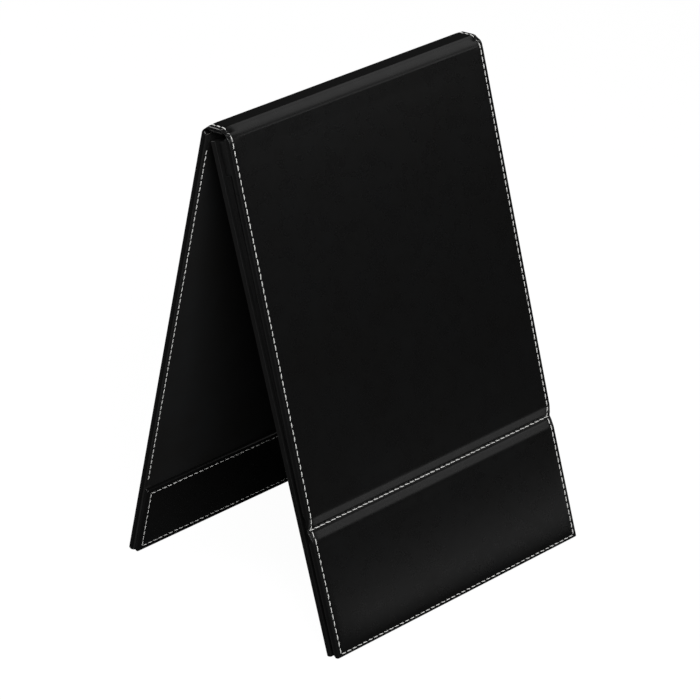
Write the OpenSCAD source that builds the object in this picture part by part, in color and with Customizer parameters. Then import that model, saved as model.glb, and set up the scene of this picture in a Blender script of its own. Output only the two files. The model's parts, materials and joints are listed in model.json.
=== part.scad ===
// Table-top photo album stand: two padded covers on a leather-hinged spine stand as a tent.
// X runs along the spine, the front cover faces -Y, +Z is up and the feet rest on z = 0.

/* [Album] */
// Width of the covers along the spine
album_w = 205; // [180:1:230]
// Length of each cover from its hinge line to its foot
cover_l = 321; // [318:1:326]
// Distance from the front hinge line down to the fold of the front cover
crease_l = 241.5; // [230:0.5:250]
// Width of the flat of the spine
spine_w = 10.8; // [10.8:0.1:14]

/* [Stance] */
// Lean of the front cover from upright, in degrees
front_lean = 14.9; // [12:0.1:18]
// Further lean of the part of the front cover below the fold, in degrees
foot_kick = 1.4; // [1.4:0.05:1.5]
// Tilt of the spine, front edge up, in degrees
spine_tilt = 5; // [0:0.5:8]

/* [Padded covers] */
// Thickness of the leather skins and linings
skin_t = 0.6; // [0.5:0.05:0.7]
// Thickness of the foam under the skins
foam_t = 1.2; // [0.8:0.1:1.2]
// Thickness of the boards in the covers
board_t = 2.2; // [1.8:0.1:2.2]
// Thickness of the board in the spine
spine_board_t = 2.4; // [1.8:0.1:2.4]
// Width of the leather hinge strips beside the spine
strip_w = 9.2; // [9.2:0.1:12]
// Width of the unpadded strip at the fold of the front cover
crease_w = 16; // [12:0.5:20]

/* [Pocket] */
// Height of the pocket inside the back cover
pocket_h = 50; // [35:1:80]
// Distance from the foot of the back cover up to the pocket
pocket_rise = 2; // [1:0.5:6]
// Thickness of the board in the pocket panel
pocket_board_t = 1.6; // [1:0.1:1.8]
// Thickness of the welts that hold the pocket panel off the lining
pocket_welt_t = 1.2; // [0.8:0.1:1.4]

/* [Pages] */
// Number of card leaves
leaf_count = 5; // [2:1:5]
// Thickness of one leaf
leaf_t = 0.25; // [0.15:0.05:0.25]
// Width of the leaves
leaf_w = 200; // [160:1:200]
// Height of the leaves
leaf_h = 300; // [240:1:300]
// Gap between the foot of the front cover and the backing board
page_gap = 2.6; // [2.4:0.1:2.6]
// Thickness of the backing board's core
backing_core_t = 2.2; // [1.6:0.1:2.2]
// Thickness of the leatherette round the backing board
wrap_t = 0.5; // [0.3:0.05:0.5]
// Distance between the binding screws
screw_pitch = 70; // [50:1:85]

/* [Stitching] */
// Distance from an edge to its row of stitches
stitch_inset = 2.5; // [2:0.1:4]
// Width of the thread
thread_w = 0.8; // [0.5:0.05:1]
// Height of the thread above the leather
thread_h = 0.3; // [0.1:0.05:0.3]

/* [Hidden] */
$fn = 48;
eps = 0.5;                                   // overshoot of cutting shapes

leather = [0.06, 0.06, 0.065];
lining = [0.08, 0.08, 0.085];
greyboard = [0.45, 0.43, 0.40];
foam = [0.75, 0.74, 0.70];
thread = [0.90, 0.90, 0.88];
card = [0.13, 0.13, 0.14];
steel = [0.70, 0.71, 0.73];

// Panels: y runs from the outer face (negative) to the inner face, z = 0 is the hinge line
strip_t = 2 * skin_t;                        // skin and lining glued together
outer_y = -strip_t / 2;
foam_y = outer_y + skin_t;
board_y = foam_y + foam_t;
lining_y = board_y + board_t;
inner_y = lining_y + skin_t;
cover_t = inner_y - outer_y;
panel_top = -strip_w / 2;
fold_y = (outer_y + inner_y) / 2;            // the fold lies midway through the cover
foot_l = cover_l - crease_l;

// Spine section
spine_t = 2 * skin_t + spine_board_t;
hinge_offset = spine_w / 2 + strip_w / 2;

// Page block: y = 0 is its hinge line, z = 0 the hinge line's level
foot_lean = front_lean + foot_kick;
page_hinge_in = 6;                           // depth behind the front hinge line
page_hinge_down = 3;                         // distance below the front hinge line
fold_block_y = (fold_y - page_hinge_in) * cos(foot_kick)
    + (crease_l - page_hinge_down) * sin(foot_kick);
fold_block_z = (fold_y - page_hinge_in) * sin(foot_kick)
    - (crease_l - page_hinge_down) * cos(foot_kick);
backing_y = fold_block_y + (inner_y - fold_y) + page_gap;
backing_t = backing_core_t + 2 * wrap_t;
block_top = -3;
block_foot = fold_block_z - foot_l;
page_strip_t = 0.8;
page_strip_top = 0.4;                        // height of the strip's top over its hinge line
bar_t = 1.4;
bar_h = 20;
bar_inner_y = page_strip_t / 2 + bar_t;
leaf_pitch = (backing_y - bar_inner_y) / leaf_count;
leaf_top = block_top - 1;
leaf_rest = 0.04;                            // air between the leaves where they lie together
leaf_meet = -180;                            // level where the fanned leaves come together

// Binding screws: a post with a head in the backing board, and a screw from the other side
screw_z = leaf_top - bar_h / 2;
barrel_d = 5;
barrel_head_d = 9;
screw_d = 3;
screw_head_d = 8;
head_t = 0.8;
screw_end_gap = 1.1;                         // from the screw's end to the bottom of its post
hole_play = 0.1;                             // added to the radius of a punched hole

// Heights that put both feet on z = 0, each with a narrow flat ground along its inner corner.
// The page block is flush with the foot of the front cover, so its inner corner touches first.
foot_cut = 0.3;
front_drop = page_hinge_in * sin(front_lean) + page_hinge_down * cos(front_lean)
    + (backing_y + backing_t) * sin(foot_lean) - block_foot * cos(foot_lean);
front_hinge_z = front_drop - foot_cut;
spine_top = front_hinge_z - hinge_offset * sin(spine_tilt) + strip_t / 2 * cos(spine_tilt);
back_hinge_z = spine_top - hinge_offset * sin(spine_tilt) - strip_t / 2 * cos(spine_tilt);
back_lean = atan(inner_y / cover_l) + acos((back_hinge_z + foot_cut) / norm([inner_y, cover_l]));

// Place of the spine that leaves both toes equally far from y = 0
front_toe = -hinge_offset * cos(spine_tilt) - strip_t / 2 * sin(spine_tilt)
    + fold_y * cos(front_lean) - crease_l * sin(front_lean)
    + (outer_y - fold_y) * cos(foot_lean) - foot_l * sin(foot_lean);
back_toe = hinge_offset * cos(spine_tilt) - strip_t / 2 * sin(spine_tilt)
    - outer_y * cos(back_lean) + cover_l * sin(back_lean);
spine_y = -(front_toe + back_toe) / 2;

// Pocket, measured inwards from the lining of the back cover
pocket_top = -cover_l + pocket_rise + pocket_h;
pocket_foot = -cover_l + pocket_rise;
panel_y = inner_y + pocket_welt_t;
pocket_t = pocket_welt_t + 2 * skin_t + pocket_board_t;
welt_w = 5;                                  // width of the welts

// ---- frames -------------------------------------------------------------------------------

module at_spine() {
    translate([0, spine_y, spine_top]) rotate([-spine_tilt, 0, 0]) children();
}

module at_front_hinge() {
    at_spine()
        translate([0, -hinge_offset, -strip_t / 2])
            rotate([spine_tilt - front_lean, 0, 0]) children();
}

module at_fold() {
    at_front_hinge() translate([0, fold_y, -crease_l]) children();
}

module at_front_foot() {
    at_fold() rotate([-foot_kick, 0, 0]) children();
}

module at_back_hinge() {
    at_spine()
        translate([0, hinge_offset, -strip_t / 2])
            rotate([spine_tilt + back_lean, 0, 0]) mirror([0, 1, 0]) children();
}

module at_page_hinge() {
    at_front_hinge()
        translate([0, page_hinge_in, -page_hinge_down]) rotate([-foot_kick, 0, 0]) children();
}

// ---- building blocks ----------------------------------------------------------------------

// Slab across the album: y from y0 to y1, z from z0 up to z1, held back from each end by inset
module slab(y0, y1, z0, z1, inset = 0, w = album_w) {
    translate([-w / 2 + inset, y0, z0]) cube([w - 2 * inset, y1 - y0, z1 - z0]);
}

// Leather tray that covers the outer face and turns round all four edges of a panel
module skin_tray(y0, y1, z0, z1, t = skin_t) {
    difference() {
        slab(y0, y1, z0, z1);
        slab(y0 + t, y1 + eps, z0 + t, z1 - t, t);
    }
}

// Everything above the table
module above_table() {
    reach = 2 * cover_l;
    intersection() {
        children();
        translate([-reach, -reach, 0]) cube([2 * reach, 2 * reach, reach]);
    }
}

// Thread along z on both faces of a panel, at one side
module side_thread(side, y0, y1, z0, z1) {
    x = side * (album_w / 2 - stitch_inset);
    for (face = [y0 - thread_h, y1])
        translate([x - thread_w / 2, face, z0]) cube([thread_w, thread_h, z1 - z0]);
}

// Thread across both faces of a panel, between the side rows
module cross_thread(y0, y1, z) {
    for (face = [y0 - thread_h, y1])
        slab(face, face + thread_h, z - thread_w / 2, z + thread_w / 2, stitch_inset + thread_w);
}

// Thread across one face only
module face_thread(y, z) {
    slab(y, y + thread_h, z - thread_w / 2, z + thread_w / 2, stitch_inset + thread_w);
}

// Leather strip mitred at a hinge line: one leg hangs down, the other is bent away by an angle
module bent_strip(down, up, bend) {
    h = strip_t / 2;
    mitre = h * tan(bend / 2);
    end = up * [-sin(bend), cos(bend)];
    across = h * [cos(bend), sin(bend)];
    rotate([90, 0, 90]) translate([0, 0, -album_w / 2]) linear_extrude(album_w)
        polygon([[-h, -down], [h, -down], [h, mitre], end + across, end - across, [-h, -mitre]]);
}

// Holes punched for the binding, one at each screw
module at_screws() {
    for (i = [-1:1])
        translate([i * screw_pitch, 0, screw_z]) children();
}

module punch(y0, y1, d) {
    at_screws()
        translate([0, y0 - eps, 0])
            rotate([-90, 0, 0]) cylinder(d = d + 2 * hole_play, h = y1 - y0 + 2 * eps);
}

// Outer face of leaf i at its head and at its foot, counted from the backing board
function leaf_head_y(i) = backing_y - i * leaf_pitch - leaf_t;
function leaf_foot_y(i) = backing_y - (i + 1) * (leaf_t + leaf_rest);

// ---- spine --------------------------------------------------------------------------------

module spine_skin() {
    color(leather) at_spine() difference() {
        translate([0, 0, -spine_t]) slab(-spine_w / 2, spine_w / 2, 0, spine_t);
        translate([0, 0, -spine_t])
            slab(-spine_w / 2 - eps, spine_w / 2 + eps, -eps, spine_t - skin_t, skin_t);
    }
}

module spine_board() {
    color(greyboard) at_spine()
        slab(-spine_w / 2, spine_w / 2, -skin_t - spine_board_t, -skin_t, skin_t);
}

module spine_lining() {
    color(lining) at_spine()
        slab(-spine_w / 2, spine_w / 2, -spine_t, -spine_t + skin_t, skin_t);
}

module spine_stitching() {
    color(thread) at_spine()
        for (side = [-1, 1])
            translate([side * (album_w / 2 - stitch_inset) - thread_w / 2, -spine_w / 2, 0])
                cube([thread_w, spine_w, thread_h]);
}

module front_hinge_strip() {
    color(leather) at_front_hinge()
        bent_strip(strip_w / 2, strip_w / 2, front_lean - spine_tilt - 90);
}

module back_hinge_strip() {
    color(leather) at_back_hinge()
        bent_strip(strip_w / 2, strip_w / 2, spine_tilt + back_lean - 90);
}

// ---- front cover above the fold -----------------------------------------------------------

front_end = -crease_l + crease_w / 2;

module front_cover_skin() {
    color(leather) at_front_hinge() skin_tray(outer_y, inner_y, front_end, panel_top);
}

module front_cover_foam() {
    color(foam) at_front_hinge()
        slab(foam_y, board_y, front_end + skin_t, panel_top - skin_t, skin_t);
}

module front_cover_board() {
    color(greyboard) at_front_hinge()
        slab(board_y, lining_y, front_end + skin_t, panel_top - skin_t, skin_t);
}

module front_cover_lining() {
    color(lining) at_front_hinge()
        slab(lining_y, inner_y, front_end + skin_t, panel_top - skin_t, skin_t);
}

module front_cover_stitching() {
    color(thread) at_front_hinge()
        for (side = [-1, 1])
            side_thread(side, outer_y, inner_y, front_end, panel_top);
}

module crease_strip() {
    color(leather) at_front_foot() bent_strip(crease_w / 2, crease_w / 2, foot_kick);
}

module crease_stitching() {
    color(thread) at_fold() cross_thread(-strip_t / 2, strip_t / 2, thread_w);
}

// ---- front cover below the fold -----------------------------------------------------------

foot_outer_y = outer_y - fold_y;
foot_inner_y = inner_y - fold_y;
foot_top = -crease_w / 2;

module front_foot_skin() {
    color(leather) at_front_foot()
        skin_tray(foot_outer_y, foot_inner_y, -foot_l, foot_top);
}

module front_foot_layer(y0, y1) {
    at_front_foot() slab(y0 - fold_y, y1 - fold_y, -foot_l + skin_t, foot_top - skin_t, skin_t);
}

module front_foot_foam() {
    color(foam) front_foot_layer(foam_y, board_y);
}

module front_foot_board() {
    color(greyboard) front_foot_layer(board_y, lining_y);
}

module front_foot_lining() {
    color(lining) front_foot_layer(lining_y, inner_y);
}

module front_foot_stitching() {
    color(thread) at_front_foot() {
        for (side = [-1, 1])
            side_thread(side, foot_outer_y, foot_inner_y, -foot_l + stitch_inset, foot_top);
        cross_thread(foot_outer_y, foot_inner_y, -foot_l + stitch_inset);
    }
}

// ---- back cover and its pocket ------------------------------------------------------------

module back_cover_skin() {
    color(leather) above_table() at_back_hinge()
        skin_tray(outer_y, inner_y, -cover_l, panel_top);
}

module back_cover_layer(y0, y1) {
    at_back_hinge() slab(y0, y1, -cover_l + skin_t, panel_top - skin_t, skin_t);
}

module back_cover_foam() {
    color(foam) back_cover_layer(foam_y, board_y);
}

module back_cover_board() {
    color(greyboard) back_cover_layer(board_y, lining_y);
}

module back_cover_lining() {
    color(lining) back_cover_layer(lining_y, inner_y);
}

module back_cover_stitching() {
    color(thread) at_back_hinge() {
        for (side = [-1, 1]) {
            x = side * (album_w / 2 - stitch_inset) - thread_w / 2;
            translate([x, outer_y - thread_h, -cover_l + stitch_inset])
                cube([thread_w, thread_h, cover_l + panel_top - stitch_inset]);
            translate([x, inner_y, pocket_top])
                cube([thread_w, thread_h, panel_top - pocket_top]);
        }
        face_thread(outer_y - thread_h, -cover_l + stitch_inset);
    }
}

module pocket_side_welts() {
    color(lining) at_back_hinge()
        for (side = [0, 1])
            mirror([side, 0, 0])
                translate([album_w / 2 - welt_w, inner_y, pocket_foot + welt_w])
                    cube([welt_w, pocket_welt_t, pocket_h - welt_w]);
}

module pocket_bottom_welt() {
    color(lining) at_back_hinge() slab(inner_y, panel_y, pocket_foot, pocket_foot + welt_w);
}

module pocket_skin() {
    color(leather) at_back_hinge() mirror([0, 1, 0])
        skin_tray(-inner_y - pocket_t, -panel_y, pocket_foot, pocket_top);
}

module pocket_board() {
    color(greyboard) at_back_hinge()
        slab(panel_y + skin_t, inner_y + pocket_t - skin_t,
            pocket_foot + skin_t, pocket_top - skin_t, skin_t);
}

module pocket_lining() {
    color(lining) at_back_hinge()
        slab(panel_y, panel_y + skin_t, pocket_foot + skin_t, pocket_top - skin_t, skin_t);
}

module pocket_stitching() {
    face = inner_y + pocket_t;
    color(thread) at_back_hinge() {
        for (side = [-1, 1])
            translate([side * (album_w / 2 - stitch_inset) - thread_w / 2, face,
                pocket_foot + stitch_inset])
                cube([thread_w, thread_h, pocket_h - 2 * stitch_inset]);
        for (z = [pocket_foot, pocket_top - 2 * stitch_inset])
            face_thread(face, z + stitch_inset);
    }
}

// ---- page block ---------------------------------------------------------------------------

module backing_board_wrap() {
    color(leather) above_table() at_page_hinge() difference() {
        skin_tray(backing_y, backing_y + backing_t, block_foot, block_top, wrap_t);
        punch(backing_y, backing_y + wrap_t, barrel_d);
    }
}

module backing_board() {
    core_y = backing_y + wrap_t;
    color(greyboard) at_page_hinge() difference() {
        slab(core_y, core_y + backing_core_t, block_foot + wrap_t, block_top - wrap_t, wrap_t);
        punch(core_y, core_y + backing_core_t, barrel_d);
        punch(backing_y + backing_t - head_t + eps, backing_y + backing_t, barrel_head_d);
    }
}

module backing_board_lining() {
    face = backing_y + backing_t;
    color(lining) at_page_hinge() difference() {
        slab(face - wrap_t, face, block_foot + wrap_t, block_top - wrap_t, wrap_t);
        punch(face - wrap_t, face, barrel_head_d);
    }
}

module page_hinge_strip() {
    color(leather) at_page_hinge() difference() {
        slab(-page_strip_t / 2, page_strip_t / 2, leaf_top - bar_h, page_strip_top, welt_w);
        punch(-page_strip_t / 2, page_strip_t / 2, screw_head_d);
    }
}

module binding_bar() {
    color(card) at_page_hinge() difference() {
        slab(page_strip_t / 2, bar_inner_y, leaf_top - bar_h, leaf_top, 0, leaf_w);
        punch(page_strip_t / 2, bar_inner_y, screw_d);
    }
}

// A leaf runs straight down its binding, fans in, then lies against the backing board
module leaf(i) {
    head = leaf_head_y(i);
    foot = leaf_foot_y(i);
    bend = leaf_top - bar_h;
    end = leaf_top - leaf_h;
    rotate([90, 0, 90]) translate([0, 0, -leaf_w / 2]) linear_extrude(leaf_w)
        polygon([
            [head, leaf_top], [head, bend], [foot, leaf_meet], [foot, end],
            [foot + leaf_t, end], [foot + leaf_t, leaf_meet],
            [head + leaf_t, bend], [head + leaf_t, leaf_top]
        ]);
}

module leaves() {
    color(card) at_page_hinge() difference() {
        for (i = [0:leaf_count - 1]) leaf(i);
        punch(bar_inner_y, backing_y, barrel_d);
    }
}

module leaf_spacers() {
    color(lining) at_page_hinge() difference() {
        for (i = [0:leaf_count - 1])
            slab(leaf_head_y(i) + leaf_t - leaf_pitch, leaf_head_y(i),
                leaf_top - bar_h, leaf_top, 0, leaf_w);
        punch(bar_inner_y, backing_y, barrel_d);
    }
}

module binding_posts() {
    face = backing_y + backing_t;
    color(steel) at_page_hinge() at_screws() rotate([-90, 0, 0]) difference() {
        union() {
            translate([0, 0, bar_inner_y]) cylinder(d = barrel_d, h = face - head_t - bar_inner_y);
            translate([0, 0, face - head_t]) cylinder(d = barrel_head_d, h = head_t);
        }
        translate([0, 0, bar_inner_y - eps])
            cylinder(d = screw_d + 2 * hole_play, h = backing_y - bar_inner_y + eps);
    }
}

module binding_screws() {
    color(steel) at_page_hinge() at_screws() rotate([-90, 0, 0]) union() {
        translate([0, 0, -page_strip_t / 2]) cylinder(d = screw_head_d, h = head_t);
        translate([0, 0, page_strip_t / 2]) cylinder(d = screw_d, h = backing_y - screw_end_gap - page_strip_t / 2);
    }
}

spine_skin();
spine_board();
spine_lining();
spine_stitching();
front_hinge_strip();
back_hinge_strip();
front_cover_skin();
front_cover_foam();
front_cover_board();
front_cover_lining();
front_cover_stitching();
crease_strip();
crease_stitching();
front_foot_skin();
front_foot_foam();
front_foot_board();
front_foot_lining();
front_foot_stitching();
back_cover_skin();
back_cover_foam();
back_cover_board();
back_cover_lining();
back_cover_stitching();
pocket_side_welts();
pocket_bottom_welt();
pocket_board();
pocket_skin();
pocket_lining();
pocket_stitching();
backing_board();
backing_board_wrap();
backing_board_lining();
page_hinge_strip();
binding_bar();
leaves();
leaf_spacers();
binding_posts();
binding_screws();
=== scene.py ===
"""Looks of the photo album stand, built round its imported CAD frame.

Sections are drawn in millimetres in each panel's own axes: x along the spine, y from the outer face
inwards, z up from the hinge line. Place turns them into the shared frame, and meshes are made in metres.
"""
import json
import math
import random
from collections import namedtuple

import bmesh
import bpy
import numpy as np
from mathutils import Matrix, Vector


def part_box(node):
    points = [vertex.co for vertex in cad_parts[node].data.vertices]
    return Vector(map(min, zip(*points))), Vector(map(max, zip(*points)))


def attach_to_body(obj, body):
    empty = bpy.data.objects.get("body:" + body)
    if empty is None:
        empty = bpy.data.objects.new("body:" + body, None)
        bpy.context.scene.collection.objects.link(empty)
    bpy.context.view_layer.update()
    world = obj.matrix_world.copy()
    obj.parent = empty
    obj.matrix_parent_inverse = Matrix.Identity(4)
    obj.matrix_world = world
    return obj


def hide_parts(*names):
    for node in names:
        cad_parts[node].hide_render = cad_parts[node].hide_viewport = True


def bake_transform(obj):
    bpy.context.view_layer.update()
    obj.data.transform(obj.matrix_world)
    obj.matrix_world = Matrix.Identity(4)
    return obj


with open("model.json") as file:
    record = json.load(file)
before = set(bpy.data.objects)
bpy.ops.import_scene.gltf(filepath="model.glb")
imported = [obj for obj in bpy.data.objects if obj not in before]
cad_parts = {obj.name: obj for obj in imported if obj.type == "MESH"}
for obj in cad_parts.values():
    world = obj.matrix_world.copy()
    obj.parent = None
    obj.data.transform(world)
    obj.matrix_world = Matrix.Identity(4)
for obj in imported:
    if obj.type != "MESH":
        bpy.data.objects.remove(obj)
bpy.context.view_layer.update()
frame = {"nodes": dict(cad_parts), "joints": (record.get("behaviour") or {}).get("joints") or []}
random.seed(11)
MM = 0.001
FAR = 1e6                           # a distance past every edge


# ---- camera --------------------------------------------------------------------------------------

AZIMUTH, ELEVATION, ROLL = (math.radians(a) for a in (-43.377, 26.597, 0.867))
AIM = Vector((-4.1, -4.5, 137.84)) * MM
DISTANCE = 2.0493
LENS = 174.83

forward = Vector((-math.sin(AZIMUTH) * math.cos(ELEVATION), math.cos(AZIMUTH) * math.cos(ELEVATION),
                  -math.sin(ELEVATION)))
level = forward.cross(Vector((0, 0, 1))).normalized()
plumb = forward.cross(level)
right = level * math.cos(ROLL) + plumb * math.sin(ROLL)
down = plumb * math.cos(ROLL) - level * math.sin(ROLL)
camera = bpy.data.objects.new("camera", bpy.data.cameras.new("camera"))
camera.data.lens = LENS
camera.data.sensor_width = 36.0
camera.matrix_world = Matrix((right, -down, -forward)).transposed().to_4x4()
camera.location = AIM - forward * DISTANCE
bpy.context.scene.collection.objects.link(camera)
bpy.context.scene.camera = camera


# ---- where the panels are ------------------------------------------------------------------------

class Place:
    """A panel's own axes, in millimetres, hung from a point of the frame."""

    def __init__(self, origin, angle, mirror=False):
        self.origin = np.array(origin)
        self.c, self.s = math.cos(angle), math.sin(angle)
        self.flip = -1.0 if mirror else 1.0

    def yz(self, y, z):
        """A point of the panel's section in the shared frame."""
        y = y * self.flip
        return self.origin + np.array([y * self.c - z * self.s, y * self.s + z * self.c])

    def span(self, node):
        """Lowest and highest (x, y, z) of a CAD node in these axes."""
        co = np.array([v.co for v in frame["nodes"][node].data.vertices]) / MM
        dy, dz = co[:, 1] - self.origin[0], co[:, 2] - self.origin[1]
        y, z = (dy * self.c + dz * self.s) * self.flip, dz * self.c - dy * self.s
        local = np.column_stack([co[:, 0], y, z])
        return local.min(0), local.max(0)


def joint_yz(name):
    """Where a joint's axis crosses the section, in millimetres of the shared frame."""
    joint = next(j for j in frame["joints"] if j["name"] == name)
    return np.array(joint["pos_m"][1:]) / MM


def lean(node):
    """Angle about X that brings upright to the long direction of a flat CAD node's section."""
    co = np.array([v.co[1:] for v in frame["nodes"][node].data.vertices])
    along = np.linalg.eigh(np.cov(co.T))[1][:, -1]
    along = along * np.sign(along[1])
    return math.atan2(-along[0], along[1])


STRIP_T = 1.2                       # skin and lining glued together, at a hinge
front_yz, back_yz = joint_yz("front_cover_hinge"), joint_yz("back_cover_hinge")
spine_across = back_yz - front_yz
spine_angle = math.atan2(spine_across[1], spine_across[0])
spine_up = np.array([-math.sin(spine_angle), math.cos(spine_angle)])
SPINE = Place((front_yz + back_yz) / 2 + spine_up * STRIP_T / 2, spine_angle)
FRONT = Place(front_yz, lean("front_cover_board"))
FOLD = Place(joint_yz("front_fold"), lean("front_cover_board"))
FOOT = Place(joint_yz("front_fold"), lean("front_foot_board"))
BACK = Place(back_yz, lean("back_cover_board"), mirror=True)
PAGES = Place(joint_yz("page_hinge"), lean("backing_board"))

HALF_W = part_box("front_cover_skin")[1].x / MM
OUTER_Y, INNER_Y = (FRONT.span("front_cover_skin")[end][1] for end in (0, 1))
LINING_Y = FRONT.span("front_cover_lining")[0][1]
FOLD_Y = (OUTER_Y + INNER_Y) / 2
FOLD_DOWN = np.linalg.norm(FOLD.origin - FRONT.yz(FOLD_Y, 0))
FOLD_OUTER, FOLD_INNER = OUTER_Y - FOLD_Y, LINING_Y - FOLD_Y    # the leather, from the fold's hinge line
SPINE_HALF = SPINE.span("spine_skin")[1][1]
SPINE_T = -SPINE.span("spine_board")[0][2]
SPINE_UNDER = -SPINE.span("spine_lining")[0][2]


# ---- sizes of the leather work, in millimetres ---------------------------------------------------

INSET = 2.8                         # row of stitches from a side edge
FOOT_NEARER = 0.8                   # and how much nearer the row at a foot lies
PITCH = 4.3                         # from stitch to stitch
RIM = 1.1                           # rounding of a turned edge
EDGE_DROP = 0.35                    # how far the padding is drawn down at the edge
EDGE_WIDTH = 7.0                    # and over what width
GROOVE = 0.22                       # depth of the dent under a row of stitches
GROOVE_W = 0.55                     # and half of its width
CROWN = 0.35                        # bulge of a padded face
WAVE = 0.02                         # slow unevenness of a padded face
SWELL = 0.3                         # bulge of the strip between the spine and a cover
PINCH = 1.1                         # how far the front hinge strip is drawn in at its two ends
PINCH_WIDTH = 9.0                   # along the spine,
PINCH_SHARE = 0.75                  # and over this share of the strip to each side of its middle


def smooth(t):
    """Eased step from 0 to 1."""
    t = np.clip(t, 0.0, 1.0)
    return t * t * (3 - 2 * t)


def relief(side, foot, inset, pad, row):
    """How far the leather dips, this far from the side edge and from a stitched end."""
    drawn = pad * EDGE_DROP * (1 - smooth(np.minimum(side, foot) / EDGE_WIDTH))
    at_side = np.exp(-((side - inset) / GROOVE_W) ** 2) * (foot > inset - GROOVE_W)
    at_foot = np.exp(-((foot - inset) / GROOVE_W) ** 2) * (side > inset - GROOVE_W)
    return drawn + row * GROOVE * np.maximum(at_side, at_foot)


# ---- lofted leather ------------------------------------------------------------------------------

# One line across the album: its outer and inner points in the shared frame, how far its ends draw in,
# its distance from a stitched end, how far it bulges, and how far it is pinched in at its two ends
Station = namedtuple("Station", "outer inner retreat foot bulge pinch", defaults=(0.0, FAR, 0.0, 0.0))


def outward(station):
    """Unit direction from a station's inner side to its outer side."""
    v = station.outer - station.inner
    length = np.linalg.norm(v)
    return v / length if length > 1e-6 else v * 0


def soften(points, rounds):
    """A line with its corners cut again and again until it is a smooth curve, with its ends kept."""
    pts = [np.array(p, float) for p in points]
    for _ in range(rounds):
        cut = [pts[0]]
        for a, b in zip(pts, pts[1:]):
            cut += [a * 0.75 + b * 0.25, a * 0.25 + b * 0.75]
        pts = cut + [pts[-1]]
    return pts


def curved(outer, inner, rounds=3):
    """Stations along two softened lines with matching points."""
    return [Station(o, i) for o, i in zip(soften(outer, rounds), soften(inner, rounds))]


def turned_edge(steps=7, power=2.6):
    """(how far out, how thick) round a turned edge, from the flat to its very end."""
    angles = np.linspace(0, math.pi / 2, steps + 1)[1:]
    return [(math.sin(a) ** (2 / power), max(math.cos(a), 0.0) ** (2 / power)) for a in angles]


def flat(place, outer, inner, top, foot, rim=RIM, head_end=False, foot_end=False, head_row=False,
         foot_row=True, crown=CROWN, step=6.0, nearer=FOOT_NEARER):
    """Stations down a flat panel, with a turned edge and a row of stitches at the ends named.

    They lie closer together near those ends, to draw the rounding and the groove under the stitches.
    """
    near = np.concatenate([np.arange(0, 1, 0.25), np.arange(1, 5, 0.4), np.arange(5, 12, 1.4)])
    stop = foot + rim if foot_end else foot
    start = top - rim if head_end else top
    levels = set(np.round(np.linspace(start, stop, max(2, int((start - stop) / step))), 3))
    if foot_end:
        levels |= {round(z, 3) for z in stop + near if z < start}
    if head_end:
        levels |= {round(z, 3) for z in start - near if z > stop}
    middle, half = (outer + inner) / 2, (outer - inner) / 2

    def at(z, thick, retreat):
        edge = min(z - foot + nearer if foot_end and foot_row else FAR,
                   top - z if head_end and head_row else FAR)
        bulge = crown * max(0.0, 1 - (2 * (z - foot) / (top - foot) - 1) ** 4)
        return Station(place.yz(middle + half * thick, z), place.yz(middle - half * thick, z),
                       retreat, edge, bulge * thick)

    rows = [at(z, 1.0, 0.0) for z in sorted(levels, reverse=True)]
    if head_end:
        rows = [at(start + rim * out, t, rim * (1 - t)) for out, t in reversed(turned_edge())] + rows
    if foot_end:
        rows += [at(stop - rim * out, t, rim * (1 - t)) for out, t in turned_edge()]
    return rows


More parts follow.
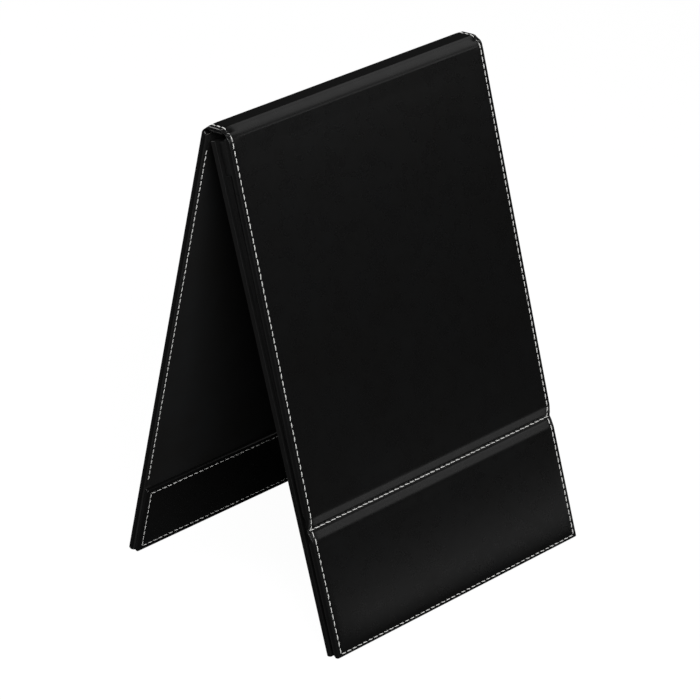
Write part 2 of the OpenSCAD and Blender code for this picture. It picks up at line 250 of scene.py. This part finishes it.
class Form:
    """Leather lofted through stations, with turned edges at its two sides."""

    def __init__(self, stations, half=HALF_W, rim=RIM, trim=0.0, inset=INSET, pad=1.0, row=1.0):
        self.stations, self.half, self.rim = stations, half, rim
        self.trim, self.inset, self.pad, self.row = trim, inset, pad, row

    def columns(self):
        """(distance from the side edge, side, share of the thickness) from left to right."""
        turned = [(self.rim * (1 - out), thick) for out, thick in reversed(turned_edge(6))]
        near = np.arange(self.rim + 0.2, 3.8, 0.22)
        face = [self.rim, *near, 4.4, 5.4, 6.8, 8.6, 11.0, *np.linspace(15, self.half, 12)]
        left = turned + [(d, 1.0) for d in face]
        return [(d, -1, c) for d, c in left] + [(d, 1, c) for d, c in reversed(left[:-1])]

    def lift(self, station, x, side):
        """How far the outer side stands over the station's outer point."""
        crown = station.bulge * (1 - (x / self.half) ** 4)
        y, z = station.outer
        ripple = np.sin(x * 0.071 + z * 0.043 + y * 0.05) * np.sin(x * 0.023 - z * 0.031)
        dip = relief(side + self.trim, station.foot + self.trim, self.inset, self.pad, self.row)
        dip = dip + station.pinch * (1 - smooth(side / PINCH_WIDTH))
        return crown + WAVE * self.pad * ripple * smooth(side / 20) - dip

    def point(self, station, x):
        """Point of the outer side in metres."""
        side = self.half - abs(x)
        y, z = station.outer + outward(station) * float(self.lift(station, np.array(x), np.array(side)))
        return Vector((x, y, z)) * MM

    def mesh(self, name):
        """The closed leather form: a ring of points at each station, skinned and capped."""
        dist, sign, share = (np.array(v) for v in zip(*self.columns()))
        bm = bmesh.new()
        rings = []
        for s in self.stations:
            middle, half = (s.outer + s.inner) / 2, (s.outer - s.inner) / 2
            thick = np.linalg.norm(half)
            k = min(1.0, thick / self.rim)
            side = np.where(dist < self.rim, dist * k,
                            dist - (1 - k) * self.rim * np.exp(-(dist - self.rim) / 1.5))
            x = sign * (self.half - side) * (self.half - s.retreat) / self.half
            lift = np.maximum(self.lift(s, x, side), -1.5 * thick) * share
            outer = middle + np.outer(share, half) + np.outer(lift, outward(s))
            inner = middle - np.outer(share, half)
            rings.append([[bm.verts.new((a * MM, y * MM, z * MM)) for a, (y, z) in zip(x, half_ring)]
                          for half_ring in (outer, inner)])
        last = len(dist) - 1
        for (top_a, low_a), (top_b, low_b) in zip(rings, rings[1:]):
            for i in range(last):
                bm.faces.new((top_a[i], top_a[i + 1], top_b[i + 1], top_b[i]))
                bm.faces.new((low_a[i + 1], low_a[i], low_b[i], low_b[i + 1]))
        for (top, low), order in ((rings[0], 1), (rings[-1], -1)):
            for i in range(last):
                bm.faces.new((top[i + 1], top[i], low[i], low[i + 1])[::order])
        return finish_mesh(name, bm)


def finish_mesh(name, bm, weld=2e-6, sharp_over=50):
    """The object of a mesh: seams welded, normals outward, smooth but for sharp edges."""
    bmesh.ops.remove_doubles(bm, verts=bm.verts, dist=weld)
    bmesh.ops.dissolve_degenerate(bm, edges=bm.edges, dist=weld)
    bmesh.ops.recalc_face_normals(bm, faces=bm.faces)
    for f in bm.faces:
        f.smooth = True
    for e in bm.edges:
        e.smooth = e.calc_face_angle(0.0) < math.radians(sharp_over)
    mesh = bpy.data.meshes.new(name)
    bm.to_mesh(mesh)
    bm.free()
    obj = bpy.data.objects.new(name, mesh)
    bpy.context.scene.collection.objects.link(obj)
    return obj


def dress(obj, material, slot, *nodes):
    """Gives a piece its finish and hides the CAD nodes that it stands for."""
    obj.data.materials.clear()
    obj.data.materials.append(material)
    if nodes:
        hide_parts(*nodes)
    return obj


# ---- materials -----------------------------------------------------------------------------------

class Nodes:
    """Short calls for the nodes of one material."""

    def __init__(self, name, **constants):
        self.material = bpy.data.materials.new(name)
        self.material.use_nodes = True
        self.tree = self.material.node_tree
        self.shader = self.tree.nodes["Principled BSDF"]
        for socket, value in constants.items():
            self.shader.inputs[socket.replace("_", " ")].default_value = value
        self.coordinates = self.tree.nodes.new("ShaderNodeTexCoord").outputs

    def node(self, kind, **sockets):
        """A node of this kind, with its sockets set to numbers or linked to other nodes."""
        made = self.tree.nodes.new(kind)
        for name, value in sockets.items():
            socket = made.inputs[name.replace("_", " ")]
            if isinstance(value, bpy.types.NodeSocket):
                self.tree.links.new(value, socket)
            else:
                socket.default_value = value
        return made

    def noise(self, size, detail=3.0, rough=0.55):
        """Noise whose blotches are about this many millimetres across."""
        return self.node("ShaderNodeTexNoise", Vector=self.coordinates["Object"], Scale=1 / (size * MM),
                         Detail=detail, Roughness=rough).outputs["Fac"]

    def pebbles(self, size):
        """Rounded cells of about this many millimetres."""
        made = self.node("ShaderNodeTexVoronoi", Vector=self.coordinates["Object"], Scale=1 / (size * MM))
        made.feature = "SMOOTH_F1"
        return made.outputs["Distance"]

    def ranged(self, value, low, high, start=0.3, stop=0.7):
        """Number from low to high as the value goes from start to stop."""
        made = self.node("ShaderNodeMapRange", Value=value)
        for socket, number in zip(("From Min", "From Max", "To Min", "To Max"), (start, stop, low, high)):
            made.inputs[socket].default_value = number
        return made.outputs["Result"]

    def ramp(self, value, low, high, start=0.3, stop=0.7):
        """Colour from low to high as the value goes from start to stop."""
        made = self.node("ShaderNodeValToRGB", Fac=value)
        for element, position, colour in zip(made.color_ramp.elements, (start, stop), (low, high)):
            element.position, element.color = position, colour
        return made.outputs["Color"]

    def bump(self, height, depth, strength, below=None):
        """Bump this many millimetres deep, on top of an earlier bump."""
        made = self.node("ShaderNodeBump", Height=height, Distance=depth * MM, Strength=strength)
        if below is not None:
            self.tree.links.new(below, made.inputs["Normal"])
        return made.outputs["Normal"]

    def set(self, socket, value):
        """Links a texture to a socket of the shader."""
        self.tree.links.new(value, self.shader.inputs[socket])


def grey(v, warm=0.0):
    """A colour this bright, a little warmer or colder than grey."""
    return (v * (1 + warm), v, v * (1 - warm), 1.0)


def leather_material(name, dark, light, rough, grain, depth, specular):
    """Black coated leather: fine pebbled grain over slow unevenness, with a satin finish."""
    m = Nodes(name, Specular_IOR_Level=specular)
    m.set("Base Color", m.ramp(m.noise(38, 2.0), grey(dark, 0.03), grey(light, -0.03)))
    m.set("Roughness", m.ranged(m.noise(9, 4.0), rough - 0.01, rough + 0.03))
    slow = m.bump(m.noise(14, 2.0), 0.10, 0.12)
    m.set("Normal", m.bump(m.pebbles(grain), depth, 0.4, m.bump(m.noise(grain * 0.4), depth, 0.25, slow)))
    return m.material


def thread_material():
    """White twisted thread, a little fuzzy."""
    m = Nodes("thread_white", Roughness=0.72, Specular_IOR_Level=0.25, Sheen_Weight=0.25)
    m.set("Base Color", m.ramp(m.noise(0.5, 2.0), (0.60, 0.60, 0.58, 1), (0.86, 0.86, 0.84, 1), 0.3, 0.65))
    m.set("Normal", m.bump(m.noise(0.25, 2.0), 0.08, 0.7))
    return m.material


def greyboard_material():
    """Pressed grey board with short fibres."""
    m = Nodes("greyboard_pressed", Roughness=0.85, Specular_IOR_Level=0.2)
    m.set("Base Color", m.ramp(m.noise(2.0, 5.0, 0.7), grey(0.16, 0.05), grey(0.24, 0.05)))
    m.set("Normal", m.bump(m.noise(1.0, 4.0), 0.05, 0.5))
    return m.material


def card_material():
    """Black card whose cut side edges show paler fibres."""
    m = Nodes("card_black", Roughness=0.8, Specular_IOR_Level=0.2)
    sides = m.node("ShaderNodeSeparateXYZ", Vector=m.coordinates["Normal"]).outputs["X"]
    cut = m.node("ShaderNodeMath", Value=sides)
    cut.operation = "ABSOLUTE"
    face = m.ramp(m.noise(1.2, 5.0, 0.7), grey(0.004), grey(0.008))
    edge = m.ramp(m.noise(0.6, 4.0, 0.7), grey(0.008), grey(0.026))
    both = m.node("ShaderNodeMix")
    both.data_type = "RGBA"
    for value, socket in ((cut.outputs["Value"], 0), (face, 6), (edge, 7)):
        m.tree.links.new(value, both.inputs[socket])
    m.set("Base Color", both.outputs[2])
    m.set("Normal", m.bump(m.noise(0.6, 4.0), 0.04, 0.5))
    return m.material


def steel_material():
    """Nickelled steel with fine wear."""
    m = Nodes("steel_nickelled", Metallic=1.0)
    m.set("Base Color", m.ramp(m.noise(2.0), grey(0.50, 0.02), grey(0.64, 0.02)))
    m.set("Roughness", m.ranged(m.noise(1.2, 4.0), 0.25, 0.4))
    m.set("Normal", m.bump(m.noise(0.4), 0.02, 0.4))
    return m.material


COVER = leather_material("leather_cover", 0.0031, 0.0038, 0.27, 0.75, 0.05, 0.45)
LINING = leather_material("leather_lining", 0.0125, 0.0155, 0.44, 0.5, 0.03, 0.14)
WRAP = leather_material("leather_wrap", 0.0018, 0.0028, 0.46, 0.6, 0.03, 0.3)
WHITE = thread_material()
GREYBOARD = greyboard_material()
CARD = card_material()
STEEL = steel_material()


# ---- the outer leather, from the front foot over the spine to the back foot ----------------------

SPINE_CUT = 3.0                     # half of the spine piece; the hinge pieces take over there
FLAT_HALF = 5.3                     # half of the spine's flat top, before it turns down
CUT = 9.0                           # how far a hinge piece reaches into its cover
FOLD_CUT = 13.0                     # and the fold piece into the panels above and below


def settled(place, outer, inner, foot, node):
    """Level of a panel's foot edge that brings its rounded rim down to the lowest point of a CAD node."""
    middle, half = (outer + inner) / 2, (outer - inner) / 2
    lowest = min(place.yz(middle - half * thick, foot + RIM - RIM * out)[1] for out, thick in turned_edge())
    return foot - (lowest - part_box(node)[0].z / MM) / place.c


def hinge_stations(cover, board):
    """Strip between the spine and a cover: flat, sloping down, then over the cover's padded shoulder."""
    sign = 1.0 if cover is BACK else -1.0
    top = cover.span(board)[1][2]

    def spine(y, z):
        return SPINE.yz(sign * y, z)

    corner = spine(FLAT_HALF, 0)
    shoulder = cover.yz(OUTER_Y, top - 0.2)
    slope = (shoulder - corner) / np.linalg.norm(shoulder - corner)
    swell = np.array([slope[1], -slope[0]]) * -sign * SWELL
    outer = [spine(SPINE_CUT, 0), spine(FLAT_HALF - 1.6, 0), spine(FLAT_HALF - 0.6, 0), corner,
             corner + slope * 1.1, corner + slope * 2.8 + swell, shoulder - slope * 2.4 + swell,
             shoulder - slope * 0.4, shoulder, cover.yz(OUTER_Y, top - 0.6), cover.yz(OUTER_Y, top - 2.8),
             cover.yz(OUTER_Y, top - CUT)]
    inner = [spine(SPINE_CUT, -SPINE_T), spine(FLAT_HALF - 1.6, -SPINE_T), spine(FLAT_HALF - 0.6, -SPINE_T),
             spine(FLAT_HALF + 0.1, -SPINE_T), spine(FLAT_HALF + 0.5, -SPINE_T + 0.3),
             spine(FLAT_HALF + 1.2, -SPINE_T), cover.yz(OUTER_Y + 2.6, top + 3.4),
             cover.yz(OUTER_Y + 2.2, top + 1.6), cover.yz(LINING_Y - 0.6, top + 0.6),
             cover.yz(LINING_Y, top - 0.2), cover.yz(LINING_Y, top - 2.4), cover.yz(LINING_Y, top - CUT)]
    stations = curved(outer, inner)
    if cover is BACK:
        return stations
    middle = (corner + shoulder) / 2
    reach = np.linalg.norm(shoulder - corner) * PINCH_SHARE
    return [s._replace(pinch=PINCH * (1 - float(smooth(np.linalg.norm(s.outer - middle) / reach))))
            for s in stations]


def fold_stations():
    """The stitched fold of the front cover: padded shoulders that slope to a narrow seam.

    Each side is drawn once, as (distance from the seam, dip under the panel's face) down to the seam.
    """
    fronts = [(FOLD_CUT, 0.0), (10.0, 0.0), (7.9, 0.0), (6.5, 0.14), (4.7, 0.62), (3.1, 1.04),
              (2.0, 1.34), (1.25, 1.8), (0.4, 2.35)]
    backs = [(FOLD_CUT, 0.0), (10.0, 0.0), (8.9, 0.0), (8.2, 0.5), (6.4, 1.0), (3.2, 1.1),
             (2.0, 1.1), (1.25, 1.1), (0.4, 1.1)]
    outer = [FOLD.yz(FOLD_OUTER + dip, z) for z, dip in fronts]
    outer += [FOOT.yz(FOLD_OUTER + dip, -z) for z, dip in reversed(fronts)]
    inner = [FOLD.yz(FOLD_INNER - dip, z) for z, dip in backs]
    inner += [FOOT.yz(FOLD_INNER - dip, -z) for z, dip in reversed(backs)]
    return curved(outer, inner, rounds=2)


front_top = FRONT.span("front_cover_board")[1][2]
back_top = BACK.span("back_cover_board")[1][2]
foot_z = settled(FOOT, FOLD_OUTER, FOLD_INNER, FOOT.span("front_foot_skin")[0][2], "front_foot_skin")
back_z = settled(BACK, OUTER_Y, LINING_Y, BACK.span("back_cover_skin")[0][2], "back_cover_skin")

OUTSIDE = {
    "front_foot": Form(flat(FOOT, FOLD_OUTER, FOLD_INNER, -FOLD_CUT, foot_z, foot_end=True)),
    "fold": Form(fold_stations()),
    "front_cover": Form(flat(FRONT, OUTER_Y, LINING_Y, front_top - CUT, FOLD_CUT - FOLD_DOWN)),
    "front_hinge": Form(hinge_stations(FRONT, "front_cover_board")),
    "spine": Form([Station(SPINE.yz(y, 0), SPINE.yz(y, -SPINE_T))
                   for y in np.linspace(-SPINE_CUT, SPINE_CUT, 7)]),
    "back_hinge": Form(hinge_stations(BACK, "back_cover_board")),
    "back_cover": Form(flat(BACK, OUTER_Y, LINING_Y, back_top - CUT, back_z, foot_end=True)),
}
STANDS_FOR = {
    "front_foot": ("front_foot_skin", "front_foot_foam"), "fold": ("crease_strip",),
    "front_cover": ("front_cover_skin", "front_cover_foam"), "front_hinge": ("front_hinge_strip",),
    "spine": ("spine_skin",), "back_hinge": ("back_hinge_strip",),
    "back_cover": ("back_cover_skin", "back_cover_foam"),
}
# Pieces that bend: the two bodies, and where the turn starts and ends
BENDS = {
    "front_hinge": ("spine", "front_cover", SPINE.yz(-SPINE_HALF, -1.0), FRONT.yz(1.0, -4.9)),
    "back_hinge": ("spine", "back_cover", SPINE.yz(SPINE_HALF, -1.0), BACK.yz(1.0, -4.9)),
    "fold": ("front_cover", "front_foot", FOLD.yz(0, 5.0), FOOT.yz(0, -5.0)),
    "page_hinge": ("spine", "page_block", SPINE.yz(-3.0, -SPINE_UNDER - 0.3), PAGES.yz(0, -3.5)),
}


def attach(obj, place):
    """Makes a piece ride on the body of this name; a piece of a bend only has its place baked into its
    mesh.
    """
    if place in BENDS:
        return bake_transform(obj)
    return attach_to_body(obj, place)


for name, form in OUTSIDE.items():
    piece = dress(form.mesh(name + "_leather"), COVER, "cover_leather", *STANDS_FOR[name])
    attach(piece, name)


# ---- linings, pocket and page block --------------------------------------------------------------

SINK = 0.35                         # how far a glued sheet's form reaches into what is under it
WIDER = 0.15                        # a lining's sides go this much past its board's, to cover them
THIN_RIM = 0.3                      # rounding of a lining's edges,
POCKET_RIM = 0.9                    # of the pocket's
WRAP_RIM = 0.35                     # and of the backing board's
WRAP_LIFT = 0.12                    # the backing board's foot ends this much higher than its CAD plate
POCKET_INSET = 3.4                  # row of stitches from the pocket's edges


def plate(name, place, node, body, material, slot, face_end, rim, wider=0.0, sink=0.0, lift=0.0, row=1.0,
          inset=INSET, **choices):
    """A flat leather piece in place of a CAD plate; face_end says which y side of it is seen."""
    low, high = place.span(node)
    face, back = (high[1], low[1] - sink) if face_end > 0 else (low[1], high[1] + sink)
    stations = flat(place, face, back, high[2], low[2] + lift, rim=rim, head_end=True, foot_end=True,
                    crown=0.0, **choices)
    half = high[0] + wider
    form = Form(stations, half=half, rim=rim, trim=HALF_W - half, inset=inset, pad=0.0, row=row)
    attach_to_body(dress(form.mesh(name), material, slot, node), body)
    return form


front_lining = plate("front_cover_lining_sheet", FRONT, "front_cover_lining", "front_cover", LINING,
                     "lining_leather", 1, THIN_RIM, WIDER, SINK, foot_row=False)
foot_lining = plate("front_foot_lining_sheet", FOOT, "front_foot_lining", "front_foot", LINING,
                    "lining_leather", 1, THIN_RIM, WIDER, SINK)
back_lining = plate("back_cover_lining_sheet", BACK, "back_cover_lining", "back_cover", LINING,
                    "lining_leather", 1, THIN_RIM, WIDER, SINK, foot_row=False)
pocket_face = plate("pocket_leather", BACK, "pocket_skin", "back_cover", COVER, "cover_leather", 1,
                    POCKET_RIM, head_row=True, inset=POCKET_INSET, nearer=0.0)
plate("backing_board_leather", PAGES, "backing_board_wrap", "page_block", WRAP, "cover_leather", -1,
      WRAP_RIM, lift=WRAP_LIFT, foot_row=False, row=0.0)


def page_hinge_form():
    """Strip that hangs the page block: glued under the spine's lining, then down the block."""
    low, high = PAGES.span("page_hinge_strip")
    half = (high[1] - low[1]) / 2 - 0.1
    under = -SPINE_UNDER
    outer = [*(SPINE.yz(y, under - 2 * half) for y in (4.2, 1.0, -2.2)),
             PAGES.yz(half + 0.5, -1.6), PAGES.yz(half, -3.4), PAGES.yz(half, -8),
             PAGES.yz(half, low[2])]
    inner = [*(SPINE.yz(y, under) for y in (4.2, 1.0, -2.6)),
             PAGES.yz(-half + 0.1, -1.0), PAGES.yz(-half, -3.4), PAGES.yz(-half, -8),
             PAGES.yz(-half, low[2])]
    return Form(curved(outer, inner), half=high[0], rim=half, pad=0.0, row=0.0)


attach(dress(page_hinge_form().mesh("page_hinge_leather"), LINING, "lining_leather", "page_hinge_strip"),
       "page_hinge")

for nodes, material in (
    (("spine_board", "front_cover_board", "front_foot_board", "back_cover_board", "pocket_board",
      "backing_board"), GREYBOARD),
    (("spine_lining", "pocket_side_welts", "pocket_bottom_welt", "pocket_lining", "backing_board_lining",
      "binding_bar"), LINING),
    (("leaves",), CARD),
    (("leaf_spacers",), WRAP),
    (("binding_posts", "binding_screws"), STEEL),
):
    for node in nodes:
        frame["nodes"][node].data.materials.clear()
        frame["nodes"][node].data.materials.append(material)


# ---- stitches ------------------------------------------------------------------------------------

THREAD = 0.29                       # radius of the thread
STITCH = 3.7                        # length of a stitch that shows
SLANT = 0.10                        # how far a stitch turns across its row, as a slope
SLANT_SPREAD = 0.05                 # and how much this differs from stitch to stitch
LENGTH_SPREAD = 0.04                # the same of its length, as a share
PROUD = 0.16                        # thread's middle over the leather, halfway along a stitch
DIVE = 0.34                         # and under the leather at its ends
SIDES = 8                           # faces round a thread
FOLD_INSET = 1.2                    # the fold's row runs nearer to the side edges than the others
LINING_STARTS = 9.5                 # first stitch of the back lining, down from the board's top
SAME_POINT = 0.01                   # lengths under this count as none
CROSS_STEPS = 50                    # steps of a row from side to side


class Seam:
    """Stitches that make one piece."""

    def __init__(self, place, nodes=(), thread=THREAD, length=STITCH):
        self.place, self.nodes, self.bm = place, nodes, bmesh.new()
        self.thread, self.length = thread, length

    def stitch(self, centre, along, out):
        """A short thread that rises from one hole and dives into the next."""
        turn = SLANT + random.uniform(-SLANT_SPREAD, SLANT_SPREAD)
        along = (along + along.cross(out) * turn).normalized()
        across = along.cross(out).normalized()
        length = self.length * random.uniform(1 - LENGTH_SPREAD, 1 + LENGTH_SPREAD)
        rings = []
        for t in (0.0, 0.06, 0.18, 0.5, 0.82, 0.94, 1.0):
            rise = math.sqrt(max(0.0, math.sin(math.pi * t)))
            girth = self.thread * (0.6 + 0.4 * rise)
            middle = centre + (along * (length * (t - 0.5)) + out * (rise * (PROUD + DIVE) - DIVE)) * MM
            spokes = [across * math.cos(a) + out * math.sin(a)
                      for a in np.arange(SIDES) * 2 * math.pi / SIDES]
            rings.append([self.bm.verts.new(middle + spoke * girth * MM) for spoke in spokes])
        for a, b in zip(rings, rings[1:]):
            for i in range(SIDES):
                self.bm.faces.new((a[i], a[(i + 1) % SIDES], b[(i + 1) % SIDES], b[i]))
        self.bm.faces.new(rings[0][::-1])
        self.bm.faces.new(rings[-1])


# The fold's stitches nearly touch each other, and the pocket's thread is finer
SEAMS = {
    "front_foot_stitching": Seam("front_foot", ["front_foot_stitching"]),
    "fold_side_stitching": Seam("fold"),
    "fold_stitching": Seam("fold", ["crease_stitching"], thread=0.28, length=4.2),
    "front_cover_stitching": Seam("front_cover", ["front_cover_stitching"]),
    "front_hinge_stitching": Seam("front_hinge"),
    "spine_stitching": Seam("spine", ["spine_stitching"]),
    "back_hinge_stitching": Seam("back_hinge"),
    "back_cover_stitching": Seam("back_cover", ["back_cover_stitching"]),
    "pocket_stitching": Seam("back_cover", ["pocket_stitching"], thread=0.23, length=4.0),
}


def sew(path):
    """Even stitches along (point, outward direction, seam) steps. Each goes to the seam that it lies in."""
    travelled = [0.0]
    for a, b in zip(path, path[1:]):
        travelled.append(travelled[-1] + (b[0] - a[0]).length)
    count = max(1, round(travelled[-1] / (PITCH * MM)))
    k = 0
    for n in range(count):
        s = travelled[-1] * (n + 0.5) / count
        while travelled[k + 1] < s:
            k += 1
        (a, out_a, seam), (b, out_b, _) = path[k], path[k + 1]
        t = (s - travelled[k]) / (travelled[k + 1] - travelled[k])
        SEAMS[seam].stitch(a.lerp(b, t), (b - a).normalized(), out_a.lerp(out_b, t).normalized())


def side_path(form, side, seam, inset=INSET):
    """Steps down one side of a form, between two stitched ends."""
    x = side * (HALF_W - inset)
    return [(form.point(s, x), Vector((0, *outward(s))), seam) for s in form.stations
            if s.foot + form.trim >= inset - SAME_POINT and s.retreat == 0]


def cross_path(form, station, seam, inset=INSET, inner=False):
    """Steps from side to side along one station."""
    reach = HALF_W - inset
    out = Vector((0, *outward(station))) * (-1 if inner else 1)
    thick = Vector((0, *(station.inner - station.outer))) * MM if inner else Vector()
    across = np.linspace(-reach, reach, CROSS_STEPS)
    return [(form.point(station, x) + thick, out, seam) for x in across]


def nearest(form, foot):
    """The station at this distance from the stitched end, over the flat of the form."""
    return min((s for s in form.stations if s.retreat == 0), key=lambda s: abs(s.foot + form.trim - foot))


FRONT_RUN = ("front_foot", "fold", "front_cover", "front_hinge")
BACK_RUN = ("spine", "back_hinge", "back_cover")
SIDE_SEAM = {name: name + "_stitching" for name in OUTSIDE} | {"fold": "fold_side_stitching"}
pocket_lip = BACK.yz(INNER_Y, BACK.span("pocket_skin")[1][2])[1]
lining_start = BACK.yz(INNER_Y, back_top - LINING_STARTS)[1]
for side in (-1, 1):
    path = []
    for name in FRONT_RUN:
        path += side_path(OUTSIDE[name], side, SIDE_SEAM[name])[::-1]
    for name in BACK_RUN:
        path += side_path(OUTSIDE[name], side, SIDE_SEAM[name])
    apart = [p for p, q in zip(path, path[1:]) if (p[0] - q[0]).length > SAME_POINT * MM]
    sew(apart + path[-1:])
    sew(side_path(front_lining, side, "front_cover_stitching"))
    sew(side_path(foot_lining, side, "front_foot_stitching"))
    sew([p for p in side_path(back_lining, side, "back_cover_stitching")
         if pocket_lip < p[0].z / MM < lining_start])
    sew(side_path(pocket_face, side, "pocket_stitching", POCKET_INSET))

for name in ("front_foot", "back_cover"):
    form = OUTSIDE[name]
    sew(cross_path(form, nearest(form, INSET), name + "_stitching"))
sew(cross_path(foot_lining, nearest(foot_lining, INSET), "front_foot_stitching"))
fold_form = OUTSIDE["fold"]
fold_middle = fold_form.stations[len(fold_form.stations) // 2]
sew(cross_path(fold_form, fold_middle, "fold_stitching", FOLD_INSET))
sew(cross_path(fold_form, fold_middle, "fold_stitching", FOLD_INSET, inner=True))
pocket_rows = [s for s in pocket_face.stations if s.retreat == 0]
pocket_middle = len(pocket_rows) // 2
for rows in (pocket_rows[:pocket_middle], pocket_rows[pocket_middle:]):
    row = min(rows, key=lambda s: abs(s.foot + pocket_face.trim - POCKET_INSET))
    sew(cross_path(pocket_face, row, "pocket_stitching", POCKET_INSET))

for name, seam in SEAMS.items():
    threads = finish_mesh("thread_" + name, seam.bm, sharp_over=80)
    attach(dress(threads, WHITE, "white_thread", *seam.nodes), seam.place)


# ---- stage and light -----------------------------------------------------------------------------

def softbox(name, direction, distance, width, height, radiance, target=Vector((0, 0, 0.15))):
    """A rectangular light that faces the object, as bright as this when seen."""
    light = bpy.data.lights.new(name, "AREA")
    light.shape, light.size, light.size_y = "RECTANGLE", width, height
    light.energy = radiance * math.pi * width * height
    obj = bpy.data.objects.new(name, light)
    direction = Vector(direction).normalized()
    obj.location = target + direction * distance
    obj.rotation_euler = direction.to_track_quat("Z", "Y").to_euler()
    obj.visible_camera = False
    bpy.context.scene.collection.objects.link(obj)


# Direction, distance, width, height and radiance. The hinge strip mirrors the first to the camera, the
# slopes of the fold the second, and the foot the last, which lies on the floor and faces up
softbox("hinge_softbox", (0.614, -0.12, 0.78), 1.5, 0.7, 0.76, 0.80)
softbox("fold_softbox", (0.65, -0.70, 0.385), 1.6, 0.9, 0.55, 0.87)
softbox("key_softbox", (-0.42, -0.72, 0.60), 2.0, 1.0, 1.0, 12.0)
softbox("back_softbox", (-0.55, 0.80, 0.42), 2.0, 1.0, 1.0, 7.0)
BEFORE_FOOT = Vector((0.125, -0.205, 0.30))
softbox("floor_softbox", (0, 0, -1), 0.298, 0.30, 0.09, 0.65, target=BEFORE_FOOT)


def camera_only(tree, seen, lit):
    """A shader that is one thing to the camera and another to every other ray."""
    path = tree.nodes.new("ShaderNodeLightPath")
    mix = tree.nodes.new("ShaderNodeMixShader")
    tree.links.new(path.outputs["Is Camera Ray"], mix.inputs["Fac"])
    tree.links.new(lit, mix.inputs[1])
    tree.links.new(seen, mix.inputs[2])
    return mix.outputs["Shader"]


def make_world():
    """White to the camera, dim to everything else."""
    world = bpy.data.worlds.new("studio")
    bpy.context.scene.world = world
    world.use_nodes = True
    tree = world.node_tree
    seen, lit = tree.nodes["Background"], tree.nodes.new("ShaderNodeBackground")
    for background, strength in ((seen, 1.0), (lit, 0.03)):
        background.inputs["Color"].default_value = (1, 1, 1, 1)
        background.inputs["Strength"].default_value = strength
    mixed = camera_only(tree, seen.outputs["Background"], lit.outputs["Background"])
    tree.links.new(mixed, tree.nodes["World Output"].inputs["Surface"])


FLOOR_RADIUS = 1.6
FLOOR_PLACE = (-0.35, 0.45, 0.0)    # it reaches further behind the album and past its left end


def make_floor():
    """A round pale floor that keeps only a trace of the shadows."""
    bm = bmesh.new()
    bmesh.ops.create_circle(bm, cap_ends=True, radius=FLOOR_RADIUS, segments=96)
    floor = finish_mesh("floor", bm)
    floor.location = FLOOR_PLACE
    material = bpy.data.materials.new("floor_pale")
    material.use_nodes = True
    tree = material.node_tree
    tree.nodes.remove(tree.nodes["Principled BSDF"])

    def diffuse(colour):
        made = tree.nodes.new("ShaderNodeBsdfDiffuse")
        made.inputs["Color"].default_value = grey(colour)
        return made.outputs["BSDF"]

    glow = tree.nodes.new("ShaderNodeEmission")
    glow.inputs["Strength"].default_value = 0.97
    seen = tree.nodes.new("ShaderNodeAddShader")
    tree.links.new(glow.outputs["Emission"], seen.inputs[0])
    tree.links.new(diffuse(0.06), seen.inputs[1])
    both = camera_only(tree, seen.outputs["Shader"], diffuse(0.05))
    tree.links.new(both, tree.nodes["Material Output"].inputs["Surface"])
    floor.data.materials.append(material)


make_world()
make_floor()
bpy.context.scene.view_settings.view_transform = "Standard"
